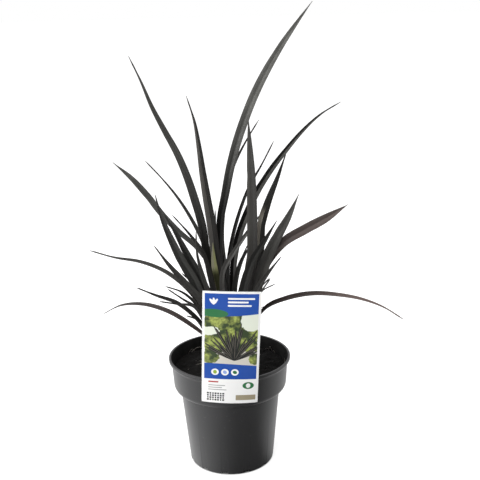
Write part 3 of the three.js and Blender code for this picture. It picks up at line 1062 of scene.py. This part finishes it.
# A dry scale: a short, torn leaf base that curls away from the clump
def buildScale(dice):
    x, y = scatterSpot(dice, *scales["reach"])
    x *= scales["squeeze"]
    outwards = math.atan2(y, x) + dice.uniform(-scales["stray"], scales["stray"])
    width, height = dice.uniform(*scales["width"]), dice.uniform(*scales["height"])
    lean, curl, seed = dice.uniform(*scales["lean"]), dice.uniform(*scales["curl"]), dice.uniform(0, 9)
    tearDepth, tearOften = scales["tear"]
    taper, power = scales["taper"]
    scale = gridPiece(*scales["grid"])
    foot = crownHeight(x, y) - scales["sunk"]
    for vert in scale.data.vertices:
        s, t = vert.co.x * 2, vert.co.y + 0.5
        ragged = 1 - tearDepth * abs(noise.noise(Vector((s * tearOften, seed, 0))))
        half = width / 2 * (1 - taper * t**power)
        rise = height * t * ragged
        away = lean * rise + curl * height * t * t - scales["cup"] * s * s
        spot = Vector((away, s * half, rise))
        spot.rotate(Matrix.Rotation(outwards, 3, "Z"))
        vert.co = spot + Vector((x, y, foot))
    addWall(scale, scales["thickness"])
    return scale


def buildCrown():
    dice = random.Random("crown")
    pieces = [buildScale(dice) for _ in range(scales["count"])]
    whole = joinPieces([buildMound(), *pieces], "crown_mound")
    whole.data.materials.clear()
    addMaterials(whole, soilMaterial("crownFibre"))
    smoothUnder(whole, 50)
    return whole


settle(buildCrown(), "crown", "crown")
print("crown: done")


# Card label: bowed round the pot at its foot, with a tongue behind it that hooks over the rim

card = {
    "width": 74.5 * mm,
    "height": 168 * mm,
    "thickness": 0.5 * mm,
    "corner": 0.8 * mm,
    "grid": (38, 84),
    "foot": Vector((-0.4 * mm, -80.7 * mm, 120 * mm)),
    "top": Vector((7.3 * mm, -107 * mm, 285.7 * mm)),
    "bow": (144 * mm, 400 * mm),  # radius at its foot and at its top
    "belly": 0.6 * mm,  # how far the middle stands forward
}
tongue = {
    "width": 24 * mm,
    "grid": (6, 26),
    "fork": 0.34,  # where on the card's height it starts
    "start": Vector((0, 2.8 * mm, -7 * mm)),  # from there to its next point, and then over the rim and down
    "rim": (-80.4 * mm, 158 * mm),
    "end": (-75.5 * mm, 141.5 * mm),
    "endWidth": 0.82,
    "flatFrom": 0.6,
    "blank": (0, -500),  # a place on the map where nothing is printed
}


def cardPoint(x, share):
    middle = card["foot"].lerp(card["top"], share)
    radius = blendValue(*card["bow"], share)
    back = radius - math.sqrt(radius**2 - x**2) - card["belly"] * math.sin(math.pi * share)
    run = card["top"] - card["foot"]
    return Vector((middle.x + x, middle.y + back, middle.z - x * run.x / run.z))


# The flat card's point, drawn in to the round corner
def roundedCorner(x, z):
    radius = card["corner"]
    inX, inZ = card["width"] / 2 - radius, card["height"] / 2 - radius
    over = Vector((max(abs(x) - inX, 0), max(abs(z) - inZ, 0)))
    if over.x == 0 or over.y == 0 or over.length <= radius:
        return x, z
    over *= radius / over.length
    return math.copysign(inX + over.x, x), math.copysign(inZ + over.y, z)


def buildCard():
    piece = gridPiece(*card["grid"])
    places = []
    for vert in piece.data.vertices:
        x, z = roundedCorner(vert.co.x * card["width"], vert.co.y * card["height"])
        places.append((x / mm, z / mm))
        vert.co = cardPoint(x, z / card["height"] + 0.5)
    mapPiece(piece, places)
    return piece


# The tongue leaves the card's back, bowed as the card is there, and gets flat and narrower
def tonguePoint(x, share):
    fork = cardPoint(0, tongue["fork"])
    rim, end = Vector((fork.x, *tongue["rim"])), Vector((fork.x, *tongue["end"]))
    point = curveThrough([fork, fork + tongue["start"], rim, end], share)
    back = cardPoint(x, tongue["fork"]).y - fork.y + card["thickness"]
    narrower = blendValue(1, tongue["endWidth"], ease(tongue["flatFrom"], 1, share))
    return point + Vector((x * narrower, back * ease(tongue["flatFrom"], 0, share), 0))


def buildTongue():
    piece = gridPiece(*tongue["grid"])
    for vert in piece.data.vertices:
        vert.co = tonguePoint(vert.co.x * tongue["width"], 0.5 - vert.co.y)
    mapPiece(piece, [tongue["blank"]] * len(piece.data.vertices))
    return piece


ink = {
    "paper": (0.92, 0.92, 0.91),
    "blue": (0.005, 0.068, 0.38),
    "paleBlue": (0.30, 0.42, 0.78),
    "green": (0.020, 0.16, 0.050),
    "lime": (0.30, 0.44, 0.050),
    "sky": (0.80, 0.84, 0.72),
    "moss": (0.024, 0.050, 0.014),
    "meadow": (0.46, 0.54, 0.12),
    "hedge": (0.040, 0.050, 0.016),
    "bush": (0.005, 0.006, 0.005),
    "sheen": (0.13, 0.115, 0.090),
    "stone": (0.66, 0.63, 0.56),
    "sand": (0.34, 0.29, 0.19),
    "red": (0.42, 0.020, 0.020),
    "grey": (0.30, 0.30, 0.30),
    "night": (0.016, 0.016, 0.016),
}
printed = {
    "bandHalf": 34.3,  # half the width of what is printed inside the white border
    "border": 3,
    "blades": 25,
    "root": (5, -17),
    "bladeTurn": 5.4,
    "bladeStray": 6,
    "bladeHalf": (1.6, 31),
    "bladeShares": (0.55, 1.05),
    "outerShort": 0.7,  # how much shorter the blades get as they lean
    "sheen": (0.35, 0.9),
    "discs": {"lime": -20, "paleBlue": -7, "green": 6},
    "lines": (17, 13, 15),
    "smallLines": (11, 9, 12),
    "petals": (-34, 0, 34),
    "dots": (7, 4),
    "dotPitch": 3.4,
    "softness": 0.12,
    "ovalEdge": (0.97, 1.02),
}
garden = {"beds": (16, 7), "tufts": (3, 3), "tuftShare": 0.6, "stir": 0.16, "stray": (6, 6, 0)}
cardFinish = {
    "printRoughness": 0.38,
    "printLevel": 0.2,
    "fade": (0.03, 1.0),
    "fadeShare": 0.04,
    "paperRoughness": 0.45,
    "paperPatches": (0.02, 1.4),
    "paperDark": (0.78, 0.78, 0.76),
}


# The print is a list of boxes and ovals in millimetres from the card's middle. Each has an ink, a place, a
# half size, and a corner's radius or a turn in degrees.
def box(inkName, place, half, corner=0.0):
    return inkName, {"Place": (*place, 0), "Half Size": (*half, 1), "Corner": corner}


def oval(inkName, place, half, turn=0.0):
    values = {"Place": (*place, 0), "Half Size": (*half, 1), "Turn": math.radians(-turn), "Oval": 1.0}
    return inkName, values


# The picture shows sword leaves that spread from one root, the outer ones behind
def leafMotif():
    dice = random.Random("print")
    shapes = []
    halfWidth, reach = printed["bladeHalf"]
    stray = printed["bladeStray"]
    sheenHalf, sheenShare = printed["sheen"]
    middle = (printed["blades"] - 1) / 2
    for i in sorted(range(printed["blades"]), key=lambda i: -abs(i - middle)):
        lean = (i - middle) * printed["bladeTurn"] + dice.uniform(-stray, stray)
        turn = math.radians(lean)
        length = reach * dice.uniform(*printed["bladeShares"]) * math.cos(turn * printed["outerShort"])
        x, y = printed["root"]
        place = (x + length * math.sin(turn), y + length * math.cos(turn))
        shapes.append(oval("bush", place, (halfWidth, length), -lean))
        shapes.append(oval("sheen", place, (sheenHalf, sheenShare * length), -lean))
    return shapes


def pictureShapes():
    return [
        box("garden", (0, 14), (printed["bandHalf"], 42)),
        oval("sky", (26, 42), (14, 15), 10),
        oval("sky", (-28, 27), (13, 6)),
        oval("stone", (3, -17), (48, 14), 4),
        oval("garden", (-27, -13), (13, 9)),
        oval("garden", (33, -15), (10, 8)),
    ]


def blockShapes():
    shapes = [
        box("blue", (0, 68), (printed["bandHalf"], 13)),
        oval("blue", (0, 55), (54, 6), 3),
        oval("green", (-22, 53), (18, 6), -4),
        box("blue", (0, -36), (printed["bandHalf"], 10)),
        oval("blue", (0, -27), (50, 4.5), -3),
    ]
    for i, (inkName, x) in enumerate(printed["discs"].items()):
        shapes.append(oval("paper", (x, -35), (5, 5)))
        shapes.append(oval(inkName, (x, -35), (2.4, 2.9), 30 * i))
    for i, half in enumerate(printed["lines"]):
        shapes.append(box("paper", (half - 5, 74 - 5 * i), (half, 1.2), 1))
    for lean in printed["petals"]:
        turn = math.radians(lean)
        shapes.append(oval("paper", (-23 + 4 * math.sin(turn), 66 + 4 * math.cos(turn)), (1.7, 5), -lean))
    return shapes


def footShapes():
    shapes = [
        box("paper", (0, -65), (38, 19)),
        oval("green", (24, -56), (7.5, 5.5)),
        oval("paper", (24, -56), (3, 3.6)),
        box("red", (-22, -50.5), (6.5, 1), 0.5),
        box("sand", (21, -75), (13, 4)),
    ]
    for i, half in enumerate(printed["smallLines"]):
        shapes.append(box("grey", (-28.5 + half, -56 - printed["dotPitch"] * i), (half, 0.5), 0.4))
    columns, rows = printed["dots"]
    for i in range(columns * rows):
        column, row = i % columns, i // columns
        place = (-29 + printed["dotPitch"] * column, -69 - printed["dotPitch"] * row)
        half = 1.3 - 0.2 * ((column + row) % 3)  # three widths of dot take turns
        shapes.append(box("night", place, (half, 1.2), 0.3))
    return shapes


def borderShapes():
    across, up, border = card["width"] / mm / 2, card["height"] / mm / 2, printed["border"]
    return [
        box("paper", (-across, 0), (border, up)),
        box("paper", (across, 0), (border, up)),
        box("paper", (0, up), (across, border)),
    ]


def shapeGroup():
    inputs = {"Map": None, "Place": None, "Half Size": None, "Turn": 0.0, "Corner": 0.0, "Oval": 0.0}
    tree, given, made = newGroup("printShape", inputs, ("Mask",))
    moved = {"Vector": vectorNode(tree, "SUBTRACT", given["Map"], given["Place"]), "Angle": given["Turn"]}
    turned = addNode(tree, "VectorRotate", moved, rotation_type="Z_AXIS")[0]
    spread = vectorNode(tree, "ABSOLUTE", turned)
    corner = addNode(tree, "CombineXYZ", {0: given["Corner"], 1: given["Corner"]})[0]
    core = vectorNode(tree, "SUBTRACT", given["Half Size"], corner)
    over = vectorNode(tree, "MAXIMUM", vectorNode(tree, "SUBTRACT", spread, core))
    boxReach = mathNode(tree, "SUBTRACT", vectorLength(tree, over), given["Corner"])
    boxMask = steps(tree, boxReach, 0.0, printed["softness"], 1.0, 0.0)
    ovalReach = vectorLength(tree, vectorNode(tree, "DIVIDE", spread, given["Half Size"]))
    ovalMask = steps(tree, ovalReach, *printed["ovalEdge"], 1.0, 0.0)
    change = times(tree, mathNode(tree, "SUBTRACT", ovalMask, boxMask), given["Oval"])
    setInputs(tree, made, {"Mask": mathNode(tree, "ADD", boxMask, change)})
    return tree


# The out of focus garden behind the printed leaves
def gardenColour(tree, spot):
    beds = mottled(tree, *garden["beds"], spot)
    tufts = mottled(tree, *garden["tufts"], spot)
    colour = mixColour(tree, beds["Mask"], ink["moss"], ink["meadow"])
    share = times(tree, tufts["Mask"], garden["tuftShare"])
    return mixColour(tree, share, colour, ink["hedge"])


# Soft, leafy edges for what the picture shows
def looseSpot(tree, spot):
    stir = noiseNode(tree, spot, garden["stir"], 1.0)["Color"]
    stir = vectorNode(tree, "SUBTRACT", stir, (0.5, 0.5, 0.5))
    return vectorNode(tree, "ADD", spot, vectorNode(tree, "MULTIPLY", stir, garden["stray"]))


def printMaterial():
    material, tree, shader = newMaterial("cardPrint", cardFinish["printRoughness"])
    group = shapeGroup()
    spot = coordinates(tree, "UV")
    loose = looseSpot(tree, spot)
    inks = {**ink, "garden": gardenColour(tree, spot)}
    layers = [(loose, shape) for shape in pictureShapes()]
    crisp = [*leafMotif(), *blockShapes(), *footShapes(), *borderShapes()]
    layers += [(spot, shape) for shape in crisp]
    colour = ink["paper"]
    for where, (inkName, values) in layers:
        mask = placeGroup(tree, group, Map=where, **values)["Mask"]
        colour = mixColour(tree, mask, colour, inks[inkName])
    fade = times(tree, mottled(tree, *cardFinish["fade"])["Mask"], cardFinish["fadeShare"])
    colour = mixColour(tree, fade, colour, ink["paper"])
    setInputs(tree, shader, {"Base Color": colour, "Specular IOR Level": cardFinish["printLevel"]})
    return material


def paperMaterial():
    material, tree, shader = newMaterial("cardPaper", cardFinish["paperRoughness"])
    patches = mottled(tree, *cardFinish["paperPatches"])
    colour = mixColour(tree, patches["Mask"], cardFinish["paperDark"], ink["paper"])
    setInputs(tree, shader, {"Base Color": colour})
    return material


def buildLabel():
    faces = (printMaterial(), paperMaterial())
    pieces = [buildCard(), buildTongue()]
    for piece in pieces:
        addMaterials(piece, *faces)
        addWall(piece, card["thickness"], material_offset=1, material_offset_rim=1)
    whole = joinPieces(pieces, "label_card")
    smoothUnder(whole, 40)
    return whole


settle(buildLabel(), "label", "plant_label")
print("label: done")


# Floor, light and camera

studio = {
    "floor": 120.0,
    "floorDrop": 0.2 * mm,
    "floorColour": (0.3, 0.3, 0.3, 1),
    "floorRoughness": 0.9,
    "floorGloss": 0.1,
    "floorGlow": {"near": 0.84, "far": 1.05, "from": 0.1, "to": 0.9, "paintedShadowUnderPot": (0.057, 0.0605)},
    "floorSides": [
        # way in which the floor is bright in gloss, the cosines between which it gets so, and how bright
        ((-1, 0.1, 0), -0.4, 0.9, 0.95),
        ((0.75, 0.66, 0), 0.15, 0.85, 0.6),
    ],
    "room": (0.03, 0.75),  # how bright it is in front of the plant and behind it
    "roomTurn": (-0.1, 0.7),  # from where to where it gets brighter, as a direction's share that points back
    "lights": [
        # name, place, size, power, whether it shows in gloss
        ("fill", (-0.9, -2.1, 1.5), 1.2, 60, False),
        ("left", (-1.8, 0.0, 0.7), 2.2, 70, True),
        ("right", (1.7, 0.3, 0.6), 1.6, 16, True),
        ("top", (-0.2, 0.4, 2.0), 1.2, 14, True),
    ],
    "aim": (0, 0, 0.25),
}


# The floor is white paper: what the camera sees of it glows, so that only the soft shadow and a painted
# shadow under the pot's foot stay on it
def buildFloor():
    bpy.ops.mesh.primitive_plane_add(size=studio["floor"], location=(0, 0, -studio["floorDrop"]))
    floor = bpy.context.object
    floor.name = "floor"
    material, tree, shader = newMaterial("floorPaper", studio["floorRoughness"])
    ray = addNode(tree, "LightPath")
    spot = coordinates(tree)
    away = vectorLength(tree, spot)
    amounts = studio["floorGlow"]
    glow = steps(tree, away, amounts["from"], amounts["to"], amounts["near"], amounts["far"])
    # painted shadow: the glow is cut away under the pot's foot
    glow = times(tree, glow, steps(tree, away, *amounts["paintedShadowUnderPot"]))
    glow = times(tree, ray["Is Camera Ray"], glow)
    way = vectorNode(tree, "NORMALIZE", spot)
    for toward, low, high, amount in studio["floorSides"]:
        cosine = addNode(tree, "VectorMath", {0: way, 1: toward}, operation="DOT_PRODUCT")["Value"]
        side = steps(tree, cosine, low, high, 0.0, amount)
        glow = mathNode(tree, "ADD", glow, times(tree, ray["Is Glossy Ray"], side))
    values = {
        "Base Color": studio["floorColour"],
        "Emission Color": (1, 1, 1, 1),
        "Emission Strength": glow,
        "Specular IOR Level": studio["floorGloss"],
    }
    setInputs(tree, shader, values)
    addMaterials(floor, material)


def buildLights():
    for name, place, size, power, inGloss in studio["lights"]:
        bpy.ops.object.light_add(type="AREA", location=place)
        light = bpy.context.object
        light.name = "light_" + name
        light.data.size = size
        light.data.energy = power
        light.visible_glossy = inGloss
        light.rotation_euler = (Vector(place) - Vector(studio["aim"])).to_track_quat("Z", "Y").to_euler()


# White paper stands behind and beside the plant, and the room in front of it is dark
def buildWorld():
    world = bpy.data.worlds.new("studioWorld")
    bpy.context.scene.world = world
    world.use_nodes = True
    tree = world.node_tree
    way = addNode(tree, "SeparateXYZ", {0: coordinates(tree, "Generated")})
    room = steps(tree, way[1], *studio["roomTurn"], *studio["room"])
    seen = addNode(tree, "LightPath")["Is Camera Ray"]
    values = {"Color": (1, 1, 1, 1), "Strength": steps(tree, seen, 0.0, 1.0, room, 1.0)}
    setInputs(tree, tree.nodes["Background"], values)


view = {
    "eye": (18.6 * mm, -1102.9 * mm, 626.8 * mm),
    "down": 15.4,  # degrees
    "roll": -1.33,
    "lens": 63,
    "sensor": 36,
}


def buildCamera():
    bpy.ops.object.camera_add(location=view["eye"])
    camera = bpy.context.object
    camera.name = "camera"
    camera.data.lens = view["lens"]
    camera.data.sensor_width = view["sensor"]
    tilt = Matrix.Rotation(math.radians(90 - view["down"]), 3, "X")
    roll = Matrix.Rotation(math.radians(view["roll"]), 3, "Z")
    camera.rotation_euler = (tilt @ roll).to_euler()
    bpy.context.scene.camera = camera


buildFloor()
buildLights()
buildWorld()
buildCamera()
bpy.context.scene.view_settings.view_transform = "Standard"
print("studio: done")
